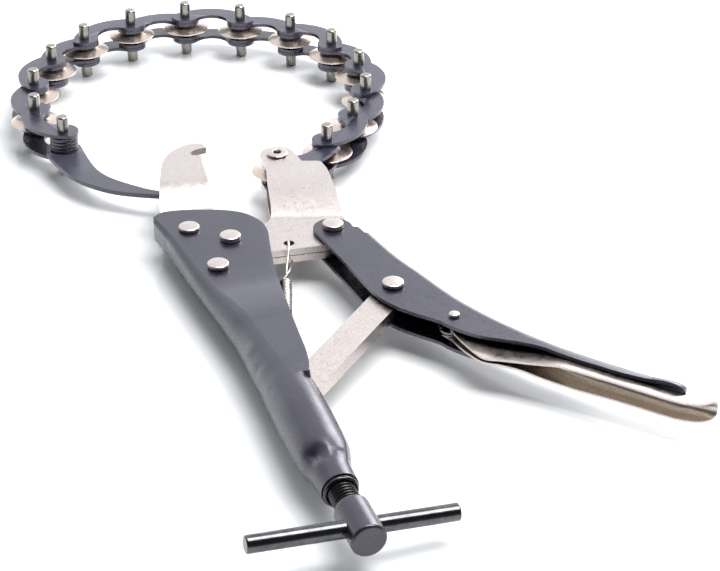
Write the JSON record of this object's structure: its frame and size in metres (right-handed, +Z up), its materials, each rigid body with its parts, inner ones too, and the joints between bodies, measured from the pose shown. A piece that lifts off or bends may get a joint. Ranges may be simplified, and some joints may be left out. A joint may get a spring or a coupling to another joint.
{
  "type": "chain pipe cutter",
  "caption": "Locking pliers that draw a chain of cutting wheels round a pipe, with a hooked fixed jaw, toggle handle, release lever and adjusting screw.",
  "frame": {"origin": "on the surface the tool lies on, under the middle of its bounding box", "axes": "+Z up through the flat tool, +Y along the adjusting screw towards the jaws and chain, +X towards the lever handle"},
  "size_m": [0.1872, 0.4204, 0.026],
  "materials": {
    "handle_black": "satin black with a faint violet cast",
    "chain_black": "satin black",
    "black_oxide": "glossy black",
    "nickel_plate": "bright satin plating with a fine grain",
    "wheel_steel": "turned steel with a warm tan tone",
    "spring_steel": "bright wire"
  },
  "bodies": {
    "fixed_handle": {"fixed_handle": "handle_black", "end_nut": "black_oxide", "fixed_jaw_upper": "nickel_plate", "fixed_jaw_lower": "nickel_plate", "front_rivet": "nickel_plate", "rear_rivet": "nickel_plate", "jaw_pivot_rivet": "nickel_plate"},
    "movable_jaw": {"movable_jaw_upper": "nickel_plate", "movable_jaw_lower": "nickel_plate", "chain_anchor_rivet": "nickel_plate", "lever_pivot_rivet": "nickel_plate", "jaw_spring": "spring_steel"},
    "lever": {"lever_handle": "handle_black", "toggle_rivet": "nickel_plate", "release_rivet": "nickel_plate", "release_spring": "spring_steel"},
    "toggle_link": {"toggle_link": "nickel_plate"},
    "release_lever": {"release_lever": "nickel_plate"},
    "screw_pad": {"screw_tip": "spring_steel"},
    "adjusting_screw": {"adjusting_screw": "handle_black", "tommy_bar": "black_oxide"},
    "link_01": {"bush_link_01": "chain_black"},
    "link_02": {"pin_link_02": "chain_black"},
    "link_03": {"bush_link_03": "chain_black"},
    "link_04": {"pin_link_04": "chain_black"},
    "link_05": {"bush_link_05": "chain_black"},
    "link_06": {"pin_link_06": "chain_black"},
    "link_07": {"bush_link_07": "chain_black"},
    "link_08": {"pin_link_08": "chain_black"},
    "link_09": {"bush_link_09": "chain_black"},
    "link_10": {"pin_link_10": "chain_black"},
    "link_11": {"bush_link_11": "chain_black"},
    "link_12": {"pin_link_12": "chain_black"},
    "link_13": {"bush_link_13": "chain_black"},
    "link_14": {"pin_link_14": "chain_black"},
    "wheel_01": {"cutting_wheel_01": "wheel_steel"},
    "wheel_02": {"cutting_wheel_02": "wheel_steel"},
    "wheel_03": {"cutting_wheel_03": "wheel_steel"},
    "wheel_04": {"cutting_wheel_04": "wheel_steel"},
    "wheel_05": {"cutting_wheel_05": "wheel_steel"},
    "wheel_06": {"cutting_wheel_06": "wheel_steel"},
    "wheel_07": {"cutting_wheel_07": "wheel_steel"},
    "wheel_08": {"cutting_wheel_08": "wheel_steel"},
    "wheel_09": {"cutting_wheel_09": "wheel_steel"},
    "wheel_10": {"cutting_wheel_10": "wheel_steel"},
    "wheel_11": {"cutting_wheel_11": "wheel_steel"},
    "wheel_12": {"cutting_wheel_12": "wheel_steel"},
    "wheel_13": {"cutting_wheel_13": "wheel_steel"},
    "wheel_14": {"cutting_wheel_14": "wheel_steel"},
    "feed_claw": {"feed_claw": "chain_black", "tail_washer_1": "chain_black", "tail_washer_2": "chain_black", "tail_washer_3": "chain_black", "tail_washer_4": "chain_black"}
  },
  "joints": [
    {"name": "jaw_pivot", "type": "hinge", "parent": "fixed_handle", "child": "movable_jaw", "pos_m": [-0.03409, -0.01919, 0.013], "axis": [0, 0, 1], "range_deg": [0, 16], "deforming": ["jaw_spring"]},
    {"name": "lever_pivot", "type": "hinge", "parent": "movable_jaw", "child": "lever", "pos_m": [0.00651, -0.02319, 0.013], "axis": [0, 0, 1], "range_deg": [-31.24, 0.2]},
    {"name": "toggle_pivot", "type": "hinge", "parent": "lever", "child": "toggle_link", "pos_m": [0.01331, -0.07309, 0.013], "axis": [0, 0, 1], "range_deg": [-0.2, 28.1]},
    {"name": "release_pivot", "type": "hinge", "parent": "lever", "child": "release_lever", "pos_m": [0.02651, -0.10139, 0.013], "axis": [0, 0, 1], "range_deg": [0, 1.5], "stiffness_Nm_per_rad": 0.05},
    {"name": "screw_feed", "type": "slide", "parent": "fixed_handle", "child": "screw_pad", "axis": [0, 1, 0], "range_m": [-0.0061, 0.0023]},
    {"name": "screw_turn", "type": "hinge", "parent": "screw_pad", "child": "adjusting_screw", "pos_m": [-0.04449, -0.20209, 0.013], "axis": [0, 1, 0], "range_deg": [-1440, 540]},
    {"name": "chain_pin_01", "type": "hinge", "parent": "movable_jaw", "child": "link_01", "pos_m": [0.00331, 0.04001, 0.013], "axis": [0, 0, 1], "range_deg": [-30, 5]},
    {"name": "chain_pin_02", "type": "hinge", "parent": "link_01", "child": "link_02", "pos_m": [0.0284, 0.04969, 0.013], "axis": [0, 0, 1], "range_deg": [-28, 5]},
    {"name": "chain_pin_03", "type": "hinge", "parent": "link_02", "child": "link_03", "pos_m": [0.04685, 0.06927, 0.013], "axis": [0, 0, 1], "range_deg": [-28, 5]},
    {"name": "chain_pin_04", "type": "hinge", "parent": "link_03", "child": "link_04", "pos_m": [0.06083, 0.09225, 0.013], "axis": [0, 0, 1], "range_deg": [-28, 5]},
    {"name": "chain_pin_05", "type": "hinge", "parent": "link_04", "child": "link_05", "pos_m": [0.06669, 0.11851, 0.013], "axis": [0, 0, 1], "range_deg": [-28, 5]},
    {"name": "chain_pin_06", "type": "hinge", "parent": "link_05", "child": "link_06", "pos_m": [0.06253, 0.14508, 0.013], "axis": [0, 0, 1], "range_deg": [-28, 5]},
    {"name": "chain_pin_07", "type": "hinge", "parent": "link_06", "child": "link_07", "pos_m": [0.05003, 0.1689, 0.013], "axis": [0, 0, 1], "range_deg": [-28, 5]},
    {"name": "chain_pin_08", "type": "hinge", "parent": "link_07", "child": "link_08", "pos_m": [0.03058, 0.18748, 0.013], "axis": [0, 0, 1], "range_deg": [-28, 5]},
    {"name": "chain_pin_09", "type": "hinge", "parent": "link_08", "child": "link_09", "pos_m": [0.00646, 0.1994, 0.013], "axis": [0, 0, 1], "range_deg": [-28, 5]},
    {"name": "chain_pin_10", "type": "hinge", "parent": "link_09", "child": "link_10", "pos_m": [-0.02044, 0.19935, 0.013], "axis": [0, 0, 1], "range_deg": [-28, 5]},
    {"name": "chain_pin_11", "type": "hinge", "parent": "link_10", "child": "link_11", "pos_m": [-0.04525, 0.18897, 0.013], "axis": [0, 0, 1], "range_deg": [-28, 12]},
    {"name": "chain_pin_12", "type": "hinge", "parent": "link_11", "child": "link_12", "pos_m": [-0.0646, 0.17029, 0.013], "axis": [0, 0, 1], "range_deg": [-28, 18]},
    {"name": "chain_pin_13", "type": "hinge", "parent": "link_12", "child": "link_13", "pos_m": [-0.0776, 0.14674, 0.013], "axis": [0, 0, 1], "range_deg": [-28, 18]},
    {"name": "chain_pin_14", "type": "hinge", "parent": "link_13", "child": "link_14", "pos_m": [-0.0826, 0.12031, 0.013], "axis": [0, 0, 1], "range_deg": [-28, 18]},
    {"name": "claw_pivot", "type": "hinge", "parent": "link_14", "child": "feed_claw", "pos_m": [-0.0755, 0.09436, 0.013], "axis": [0, 0, 1], "range_deg": [-20, 35]},
    {"name": "wheel_spin_01", "type": "hinge", "parent": "link_01", "child": "wheel_01", "pos_m": [0.00331, 0.04001, 0.013], "axis": [0, 0, 1], "continuous": true},
    {"name": "wheel_spin_02", "type": "hinge", "parent": "link_01", "child": "wheel_02", "pos_m": [0.0284, 0.04969, 0.013], "axis": [0, 0, 1], "continuous": true},
    {"name": "wheel_spin_03", "type": "hinge", "parent": "link_03", "child": "wheel_03", "pos_m": [0.04685, 0.06927, 0.013], "axis": [0, 0, 1], "continuous": true},
    {"name": "wheel_spin_04", "type": "hinge", "parent": "link_03", "child": "wheel_04", "pos_m": [0.06083, 0.09225, 0.013], "axis": [0, 0, 1], "continuous": true},
    {"name": "wheel_spin_05", "type": "hinge", "parent": "link_05", "child": "wheel_05", "pos_m": [0.06669, 0.11851, 0.013], "axis": [0, 0, 1], "continuous": true},
    {"name": "wheel_spin_06", "type": "hinge", "parent": "link_05", "child": "wheel_06", "pos_m": [0.06253, 0.14508, 0.013], "axis": [0, 0, 1], "continuous": true},
    {"name": "wheel_spin_07", "type": "hinge", "parent": "link_07", "child": "wheel_07", "pos_m": [0.05003, 0.1689, 0.013], "axis": [0, 0, 1], "continuous": true},
    {"name": "wheel_spin_08", "type": "hinge", "parent": "link_07", "child": "wheel_08", "pos_m": [0.03058, 0.18748, 0.013], "axis": [0, 0, 1], "continuous": true},
    {"name": "wheel_spin_09", "type": "hinge", "parent": "link_09", "child": "wheel_09", "pos_m": [0.00646, 0.1994, 0.013], "axis": [0, 0, 1], "continuous": true},
    {"name": "wheel_spin_10", "type": "hinge", "parent": "link_09", "child": "wheel_10", "pos_m": [-0.02044, 0.19935, 0.013], "axis": [0, 0, 1], "continuous": true},
    {"name": "wheel_spin_11", "type": "hinge", "parent": "link_11", "child": "wheel_11", "pos_m": [-0.04525, 0.18897, 0.013], "axis": [0, 0, 1], "continuous": true},
    {"name": "wheel_spin_12", "type": "hinge", "parent": "link_11", "child": "wheel_12", "pos_m": [-0.0646, 0.17029, 0.013], "axis": [0, 0, 1], "continuous": true},
    {"name": "wheel_spin_13", "type": "hinge", "parent": "link_13", "child": "wheel_13", "pos_m": [-0.0776, 0.14674, 0.013], "axis": [0, 0, 1], "continuous": true},
    {"name": "wheel_spin_14", "type": "hinge", "parent": "link_13", "child": "wheel_14", "pos_m": [-0.0826, 0.12031, 0.013], "axis": [0, 0, 1], "continuous": true}
  ],
  "couplings": [
    {"joint": "lever_pivot", "follows": "jaw_pivot", "ratio": -1.94},
    {"joint": "toggle_pivot", "follows": "jaw_pivot", "ratio": 1.744},
    {"joint": "screw_feed", "follows": "screw_turn", "m_per_rad": 0.00023873}
  ]
}
